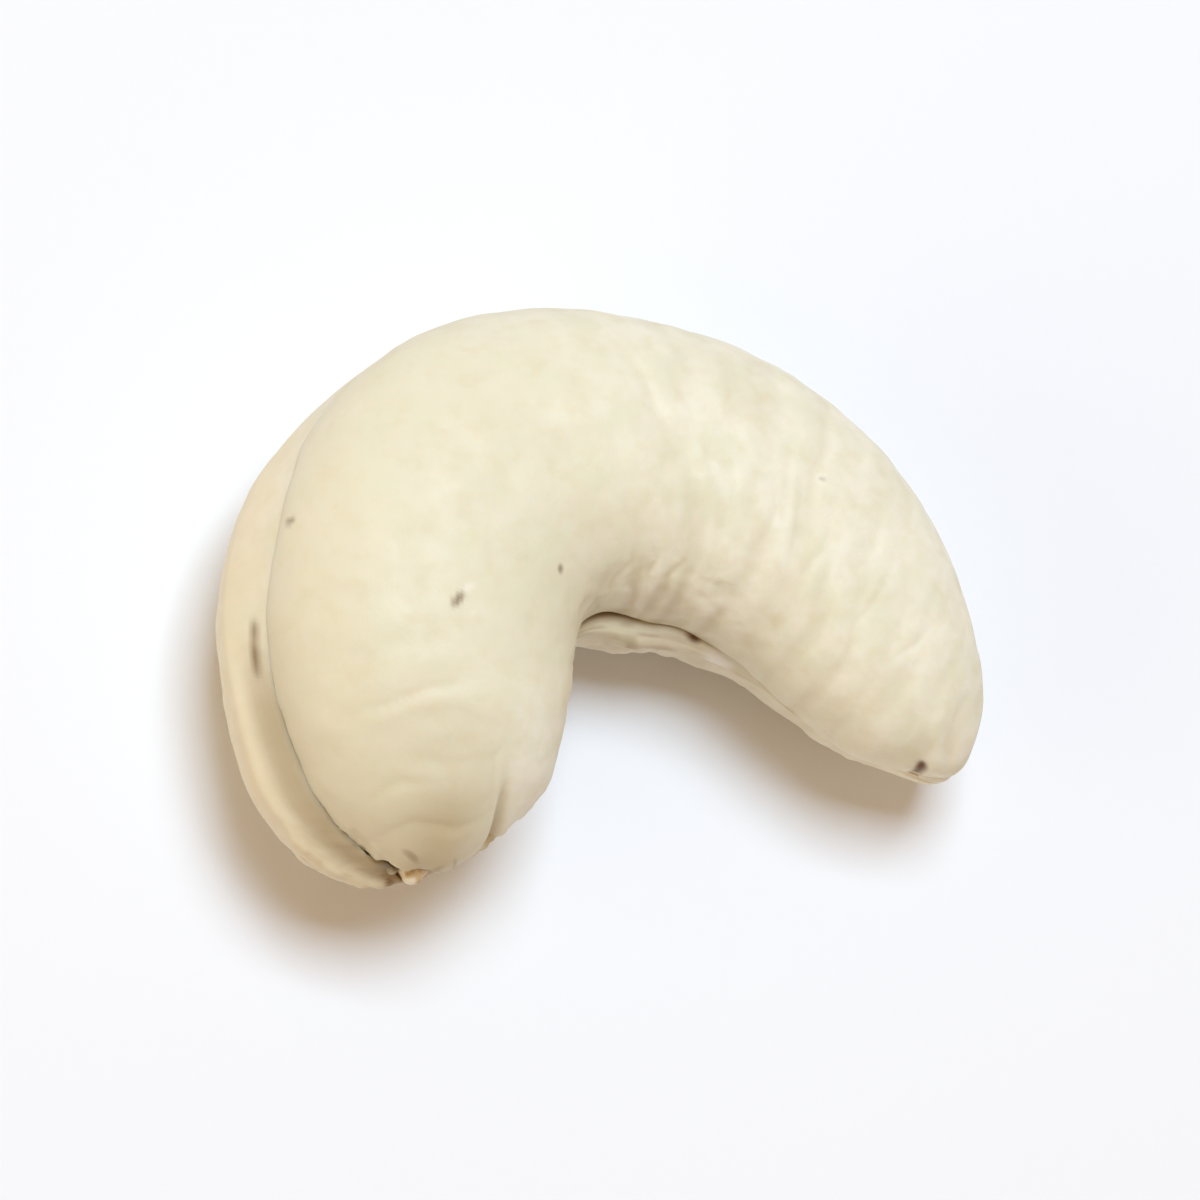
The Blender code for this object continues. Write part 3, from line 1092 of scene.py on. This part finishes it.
    def _end_lumps(self, surface: np.ndarray, along: np.ndarray, section: Section) -> np.ndarray:
        """Return small lumps on the fat end's last stretch: layered noise, strongest by the rims and the radicle.

        Args:
            surface: The plain surface.
            along: Distance of each point's ring from the fat end.
            section: The sections, for the rims.

        Returns:
            The height of the lumps in millimetres.
        """
        lumps = LatticeNoise(self.seed + 2).layered(surface, self.skin.lumps.length, 3) * self.skin.lumps.height
        middle, half_width = self.skin.lumps_place
        lumps = lumps * (1 + 1.6 * bell(surface[..., 0] - middle, half_width))
        by_rim = np.maximum(smooth_step(section.dome, 0.65, 0.1), section.face > 0)
        return lumps * by_rim * smooth_step(along, *self.skin.fat_reach)

    def _streaks(self, along: np.ndarray, section: Section) -> np.ndarray:
        """Return streaks, -1 to 1, that run along the inner band: noise long that way and short across the band."""
        inwards = np.stack([along, section.inner_band * 1.1, np.zeros_like(along)], axis=-1)
        return LatticeNoise(self.seed + 3).at(inwards, self.skin.streaks.length) * (section.inner_band > 0)

    def surface(self) -> tuple[np.ndarray, dict[str, np.ndarray]]:
        """Return the finished half and what its material reads.

        The relief is added along the plain surface's normals, and dies out at the very ends. The seam's face takes
        only a little of it, with its streaks.

        Returns:
            The surface in the drawing, rings by points by x, y, z, and the attributes by name, rings by points.
        """
        stations = Stations.along(self.drawing, self.rings)
        section = self.section(stations)
        plain = self.plain_surface(stations, section)
        for bulge in self.bulges:
            plain[..., :2] += bulge.shift(plain[..., :2])
        plan = plain[..., :2]
        along = np.broadcast_to(stations.distance[:, None], plan.shape[:2])
        layers = self.relief(plain, along, section.across)
        ragged = LatticeNoise(self.seed + 1).at(plain, 0.45)
        spots = [speck.mark_at(plan, ragged) for speck in self.specks]
        bands = (section.outer_band > 0) | (section.inner_band > 0)
        showing = section.face == 0 if self.side is Side.UPPER else bands
        pits = sum((speck.pit * spot for speck, spot in zip(self.specks, spots)), np.zeros(along.shape))
        scuffs = sum((scuff.mark_at(plan, ragged) for scuff in self.scuffs), np.zeros(along.shape))
        soft = layers["swell"] + layers["dimple"]
        on_face = soft * 0.3 + self._streaks(along, section) * self.skin.streaks.height
        height = np.where(section.face == 0, sum(layers.values()), on_face) - pits
        height = (height + self._end_lumps(plain, along, section)) * smooth_step(stations.width, 0.0, 0.5)[:, None]
        surface = self._pocket(plain + surface_normals(plain) * height[..., None])
        marks = {
            # Tan, mostly painted shade in recesses, creases, the trough and the crevice.
            "tan_and_painted_shade": self._tan_and_painted_shade(surface[..., :2], along, layers, section),
            "blush": self._blush(surface[..., :2], along, section),
            # A whiter ivory, partly painted light on the arch's wall and the lobe.
            "pale_and_painted_light": self._pale_and_painted_light(surface[..., :2], along, section),
            # Brown of the specks, and a painted shadow in the seam's crack at the arch.
            "mark": np.clip(sum(spots, self._painted_seam_shadow(along, section)), 0, 1) * showing,
            "scuff": np.clip(scuffs, 0, 1) * showing,
        }
        return surface, marks

    def _painted_seam_shadow(self, along: np.ndarray, section: Section) -> np.ndarray:
        """Return the painted shadow, in brown, in the seam's crack at the arch, 0 to 1: the last quarter of the inner
        band.
        """
        return smooth_step(section.inner_band, 0.70, 0.92) * bell(along - 17.5, 4.0) * self.tone.seam_shadow_share

    def _tan_and_painted_shade(
        self, plan: np.ndarray, along: np.ndarray, layers: dict[str, np.ndarray], section: Section
    ) -> np.ndarray:
        """Return the tan, 0 to 1, mostly painted shade: the sum of what the lines, pleats and ripples and the places
        take.

        Lines and folds count by their depth, pleats and ripples by how far they lie below the skin, as painted shade
        in the recesses. The places are the ones that the toning names, each with soft ends: painted shade in the
        trough, towards the fat end and at its tip and in the seam's crevice, tan on the seam's face near the arch,
        and the skin's own tan in the streaks and where it is torn.

        Args:
            plan: The surface's points in plan.
            along: Distance of each point's ring from the fat end.
            layers: The relief.
            section: The sections, for the seam's face and its bands.

        Returns:
            The share of tan, mostly painted shade, at each point.
        """
        tone = self.tone
        distance = self._arch(plan)[1]
        # Painted shade: tan in the lines, folds, pleats and ripples, darker where they lie deeper.
        depth = -layers["lines"]
        in_lines = np.clip(depth / 0.5, 0, 1) * tone.lines
        in_folds = smooth_step(depth, 0.010, 0.09) * smooth_step(distance, 4.8, 3.0) * tone.folds
        in_pleats = smooth_step(-layers["pleats"], -0.005, 0.05) * tone.pleats * (section.face == 0)
        in_ripples = np.clip(-layers["ripples"] / 0.04, 0, 1) * tone.ripples
        seam_face = (section.face > 0) * smooth_step(distance, 6.0, 3.0) * tone.seam_face
        streaks = np.clip(self._streaks(along, section), 0, 1) * tone.streaks
        # Painted shade in the trough beside the upper half, towards the fat end and its tip, and in the seam's
        # crevice.
        trough = smooth_step(section.outer_band, 0.10, 0.6) * smooth_step(along, 7.5, 4.5) * tone.trough
        left = smooth_step(plan[..., 0], -4.4, -6.5)
        bottom = (smooth_step(along, 9.0, 1.0) * tone.fat_end + smooth_step(along, 2.5, 0.5) * tone.fat_tip) * left
        crevice = smooth_step(section.inner_band, 0.90, 1.0) * smooth_step(along, 23.0, 21.0) * tone.crevice
        middle, half_width = tone.torn_place
        torn = smooth_step(along, 2.4, 1.0) * bell(plan[..., 0] - middle, half_width) * tone.torn
        relief = in_lines + in_folds + in_pleats + in_ripples
        return np.clip(relief + seam_face + streaks + trough + bottom + crevice + torn, 0, 1)

    def _pale_and_painted_light(self, plan: np.ndarray, along: np.ndarray, section: Section) -> np.ndarray:
        """Return how whitish the ivory is, 0 to 1: paler on the arm, and painted light on the arch's wall by its rim
        and on the lobe.

        Args:
            plan: The surface's points in plan.
            along: Distance of each point's ring from the fat end.
            section: The sections, for the wall.

        Returns:
            The share of the whiter ivory, partly painted light, at each point.
        """
        arm = smooth_step(along, 13.0, 22.0) * self.tone.white_arm
        by_arch = smooth_step(self._arch(plan)[1], 3.4, 2.4)
        # Painted light on the arch's wall and the lobe, which face away from the key panel.
        wall = by_arch * smooth_step(section.dome, 0.95, 0.6) * self.tone.painted_light_wall
        lobe = smooth_step(plan[..., 0], -5.0, -4.0) * smooth_step(along, 7.0, 3.5) * self.tone.painted_light_lobe
        return np.clip(arm + wall + lobe, 0, 1)

    def _blush(self, plan: np.ndarray, along: np.ndarray, section: Section) -> np.ndarray:
        """Return how warm the ivory is, 0 to 1: more towards the fat end, left of its lobe, and at the rims.

        Args:
            plan: The surface's points in plan.
            along: Distance of each point's ring from the fat end.
            section: The sections, for the rims.

        Returns:
            The share of the warmer ivory at each point.
        """
        fat_end = smooth_step(along, 9.0, 2.0) * smooth_step(plan[..., 0], -4.0, -5.5) * self.tone.warm_fat_end
        rims = smooth_step(np.abs(section.across), 0.88, 1.0) * self.tone.warm_rims
        return np.clip(fat_end + rims, 0, 1)

    def build(self, placement: Placement) -> bpy.types.Object:
        """Return the finished half, in place of its CAD node and nowhere below the ground.

        Args:
            placement: Carries the drawing to the row frame.

        Returns:
            The object.
        """
        surface, marks = self.surface()
        row = placement.to_row(surface)
        row[..., 2] = np.maximum(row[..., 2], 0.0)
        mesh = closed_mesh(f"{self.side.value}_skin", row, marks)
        return fit_piece(mesh, self.finish, self.side.value)


def fit_piece(mesh: bpy.types.Mesh, finish: KernelFinish, node: str) -> bpy.types.Object:
    """Return a new object of the mesh, dressed, riding on the body and standing for its CAD node.

    Args:
        mesh: The mesh, in the row frame.
        finish: Its finish.
        node: The CAD node that the piece stands for, which is hidden.

    Returns:
        The object, at the origin.
    """
    piece = bpy.data.objects.new(mesh.name, mesh)
    bpy.context.scene.collection.objects.link(piece)
    mesh.materials.append(finish.material())
    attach(piece, BODY)
    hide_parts(node)
    log.info("%s: %d faces, for %s", piece.name, len(mesh.polygons), node)
    return piece


@dataclass
class CashewKernel:
    """The whole kernel: two cotyledons and the radicle between them."""

    drawing: KernelDrawing = field(default_factory=KernelDrawing)
    radicle: Radicle = field(default_factory=Radicle)

    def halves(self) -> tuple[Cotyledon, Cotyledon]:
        """Return the two halves with what is their own, all of it placed in the drawing.

        Returns:
            The upper half and the lower one, with their furrows, creases, specks, scuffs, bulges and lips.
        """
        upper = Cotyledon(
            side=Side.UPPER,
            finish=UPPER_FINISH,
            drawing=self.drawing,
            radicle=self.radicle,
            seed=11,
            furrows=(
                Furrow((-4.35, -8.9), (-4.60, -6.2), 0.42, 0.20),
                Furrow((0.5, -0.6), (0.2, 1.8), 0.06, 0.28),
                Furrow((1.2, -0.6), (1.7, 1.2), 0.07, 0.26),
                Furrow((1.9, -0.7), (2.4, 2.2), 0.08, 0.28),
                Furrow((3.2, -1.3), (4.1, 0.4), 0.06, 0.28),
            ),
            creases=(
                Crease(((-9.8, -4.9), (-8.5, -4.55), (-7.45, -4.15), (-6.3, -4.0)), 0.045, 0.22, 0.045),
                Crease(((-9.2, -5.5), (-8.0, -5.0), (-6.4, -4.8), (-4.8, -5.5)), 0.030, 0.24, 0.0),
                Crease(((-9.3, -7.6), (-8.2, -7.0), (-7.0, -7.1)), 0.045, 0.20, 0.020),
                Crease(((-8.9, -8.7), (-7.6, -8.2), (-6.0, -8.4), (-5.2, -8.1)), 0.045, 0.18, 0.025),
                Crease(((-8.0, -6.2), (-6.8, -6.5), (-5.6, -6.3)), 0.025, 0.22, 0.015),
                Crease(((4.3, 0.9), (4.9, 1.9), (5.0, 2.9)), 0.030, 0.16, 0.020),
                Crease(((5.6, -0.3), (6.5, 0.8), (7.1, 2.2)), 0.030, 0.16, 0.020),
                Crease(((7.4, -1.9), (8.4, -0.8), (9.2, 0.6)), 0.028, 0.16, 0.018),
                Crease(((8.8, -2.9), (9.9, -2.2), (10.8, -1.2)), 0.028, 0.14, 0.018),
                Crease(((-4.75, -8.6), (-4.95, -7.4), (-5.05, -6.2), (-4.7, -5.8)), 0.030, 0.11, 0.012),
                Crease(((-0.5, -0.6), (-0.35, 0.0), (0.10, 0.5), (0.15, 1.0)), 0.040, 0.12, 0.015),
                Crease(((0.9, -0.5), (0.75, 0.2), (0.95, 0.6), (0.70, 1.0)), 0.045, 0.10, 0.015),
                Crease(((1.5, -0.5), (1.45, 0.1), (1.9, 0.5), (2.0, 0.9)), 0.035, 0.12, 0.015),
                Crease(((2.6, -0.9), (2.7, -0.2), (3.1, 0.3)), 0.030, 0.11, 0.010),
            ),
            specks=(
                Speck((-6.42, -1.20), 0.62, 0.32, 50, 0.75, 0.02),
                Speck((-2.68, 0.07), 0.34, 0.24, 90, 0.60, 0.03),
                Speck((-11.35, 1.95), 0.32, 0.24, 60, 0.55, 0.03),
                Speck((6.6, 3.3), 0.22, 0.18, 0, 0.35, 0.02),
                Speck((10.75, -5.95), 0.50, 0.28, -30, 1.0, 0.12),
                Speck((-7.35, -9.15), 0.70, 0.18, -30, 0.40, 0.06),
                Speck((-6.45, -9.55), 0.60, 0.16, 25, 0.35, 0.06),
                Speck((-5.7, -9.35), 0.40, 0.12, -35, 0.30, 0.04),
            ),
            scuffs=(Speck((-6.0, -0.75), 0.50, 0.32, 40, 0.5),),
            bulges=(
                Bulge((-5.9, -9.2), (0.0, -0.32), 0.9),
                Bulge((-7.5, -9.3), (-0.06, -0.20), 0.5),
                Bulge((-4.2, -8.9), (0.0, 0.25), 0.35),
                Bulge((1.4, -0.6), (0.0, -0.22), 1.1),
                Bulge((6.4, -3.6), (-0.08, -0.16), 1.6),
                Bulge((8.6, -5.2), (-0.06, -0.12), 1.2),
            ),
        )
        lower = Cotyledon(
            side=Side.LOWER,
            finish=LOWER_FINISH,
            drawing=self.drawing,
            radicle=self.radicle,
            seed=23,
            outer_lip=Lip(
                places=(0.0, 2.0, 4.0, 5.5, 6.6, 7.4, 8.3, 9.2, 10.3, 12.3, 13.4, 14.5),
                fillet=(0.60, 0.90, 1.02, 1.10, 1.20, 1.42, 2.10, 2.65, 2.45, 1.70, 0.90, 0.00),
                ridge=(0.04, 0.10, 0.12, 0.08, 0.02, 0.00, 0.00, 0.00, 0.00, 0.00, 0.00, 0.00),
                apart=(-0.08, -0.13, -0.14, -0.14, -0.16, -0.22, -0.38, -0.50, -0.40, -0.15, -0.06, -0.02),
            ),
            inner_lip=Lip(
                places=(0.0, 9.0, 12.0, 20.0, 23.0, 26.0, 31.0),
                fillet=(0.00, 0.00, 0.10, 0.15, 0.30, 0.45, 0.10),
                ridge=(0.00, 0.00, 0.16, 0.20, 0.20, 0.00, 0.00),
                apart=(0.00, 0.00, 0.01, 0.02, -0.04, -0.10, 0.00),
            ),
            specks=(
                Speck((-12.2, -1.95), 1.9, 0.22, 94, 0.75),
                Speck((3.22, -1.32), 0.60, 0.34, -30, 1.0, 0.05),
                Speck((2.75, -1.95), 0.24, 0.16, 20, 0.6),
                Speck((-7.65, -9.70), 0.24, 0.16, 20, 0.7),
                Speck((-7.9, -9.0), 0.30, 0.18, 50, 0.5),
                Speck((10.55, -6.15), 0.45, 0.30, -25, 1.0),
            ),
            scuffs=(Speck((4.2, -2.15), 1.6, 0.55, -40, 0.9),),
            bulges=(
                Bulge((-3.9, -8.6), (0.15, 1.00), 0.95),
                Bulge((5.2, -3.2), (0.05, 0.10), 1.2),
                Bulge((10.2, -6.7), (0.05, 0.22), 1.2),
            ),
        )
        return upper, lower

    def build(self) -> Placement:
        """Build the halves and the radicle where their CAD nodes lie.

        Returns:
            The placement that carried the drawing to the row frame.
        """
        upper, lower = self.halves()
        stations = Stations.along(self.drawing, upper.rings)
        placement = Placement.fitted(self.drawing, upper.plain_surface(stations, upper.section(stations)))
        upper.build(placement)
        lower.build(placement)
        self.radicle.build(placement)
        return placement


@dataclass(frozen=True)
class Panel:
    """A square soft light: the direction to it, its distance and side in metres, its watts and its linear colour."""

    name: str
    towards: Triple
    distance: float
    side: float
    power: float
    colour: Triple

    def hang(self, target: Vector) -> None:
        """Hang the light so that it faces the target.

        Args:
            target: What it faces, in the row frame.
        """
        data = bpy.data.lights.new(self.name, "AREA")
        data.size = self.side
        data.energy = self.power
        data.color = self.colour
        panel = bpy.data.objects.new(self.name, data)
        direction = Vector(self.towards).normalized()
        panel.location = target + direction * self.distance
        panel.rotation_euler = direction.to_track_quat("Z", "Y").to_euler()
        bpy.context.scene.collection.objects.link(panel)


@dataclass
class Studio:
    """A pale floor, a soft panel high over the kernel, a faint one to its left, a warm glow, and the camera."""

    floor_side: float = 3.0
    floor_colour: Rgb = (240, 243, 249)
    azimuth: float = math.radians(-50.4)
    elevation: float = math.radians(75.3)
    distance: float = 0.227
    view_width: float = 0.0408
    sensor: float = 36.0
    panels: tuple[Panel, ...] = (
        Panel("bounce", (-1.0, -0.25, 0.40), 0.35, 0.30, 0.30, (1.0, 0.86, 0.62)),
        Panel("key", (0.07, 0.30, 1.0), 0.60, 0.25, 3.26, (0.720, 0.870, 1.0)),
    )
    glow_colour: tuple[float, float, float, float] = (1.0, 0.67, 0.40, 1.0)
    glow_strength: float = 0.43

    def build(self, target: np.ndarray) -> None:
        """Build the floor, the lights and the camera.

        Args:
            target: What the lights and the camera face, in the row frame.
        """
        self._floor()
        self._lights(Vector(target))
        self._camera(Vector(target))

    def _floor(self) -> None:
        """Lay a level square under the kernel."""
        half = self.floor_side / 2
        mesh = bpy.data.meshes.new("floor")
        corners = [(-half, -half, 0.0), (half, -half, 0.0), (half, half, 0.0), (-half, half, 0.0)]
        mesh.from_pydata(corners, [], [(0, 1, 2, 3)])
        floor = bpy.data.objects.new("floor", mesh)
        bpy.context.scene.collection.objects.link(floor)
        material = bpy.data.materials.new("floor_white")
        material.use_nodes = True
        shader = material.node_tree.nodes["Principled BSDF"]
        shader.inputs["Base Color"].default_value = to_linear(self.floor_colour)
        shader.inputs["Roughness"].default_value = 0.9
        shader.inputs["Specular IOR Level"].default_value = 0.1
        mesh.materials.append(material)

    def _lights(self, target: Vector) -> None:
        """Hang the panels round the target and fill the room with the glow.

        Args:
            target: What the panels face.
        """
        for panel in self.panels:
            panel.hang(target)
        world = bpy.data.worlds.new("room")
        world.use_nodes = True
        glow = world.node_tree.nodes["Background"]
        glow.inputs["Color"].default_value = self.glow_colour
        glow.inputs["Strength"].default_value = self.glow_strength
        bpy.context.scene.world = world

    def _camera(self, target: Vector) -> None:
        """Set the camera at the photograph's angle, rolled so that +X runs to the right of the picture.

        Args:
            target: What the camera faces.
        """
        level = math.cos(self.elevation)
        back = Vector((math.sin(self.azimuth) * level, -math.cos(self.azimuth) * level, math.sin(self.elevation)))
        right = (Vector((1.0, 0.0, 0.0)) - back * back.x).normalized()
        data = bpy.data.cameras.new("camera")
        data.sensor_width = self.sensor
        data.lens = self.sensor * self.distance / self.view_width
        data.clip_start = 0.01
        camera = bpy.data.objects.new("camera", data)
        camera.matrix_world = Matrix.Translation(target + back * self.distance) @ Matrix(
            (right, back.cross(right), back)
        ).transposed().to_4x4()
        bpy.context.scene.collection.objects.link(camera)
        bpy.context.scene.camera = camera
        bpy.context.scene.view_settings.view_transform = "Standard"


def main() -> None:
    """Build the kernel and the studio in order."""
    logging.basicConfig(level=logging.INFO, format="%(name)s: %(message)s")
    placement = CashewKernel().build()
    Studio().build(placement.to_row(np.zeros(3)))


if __name__ == "__main__":
    main()
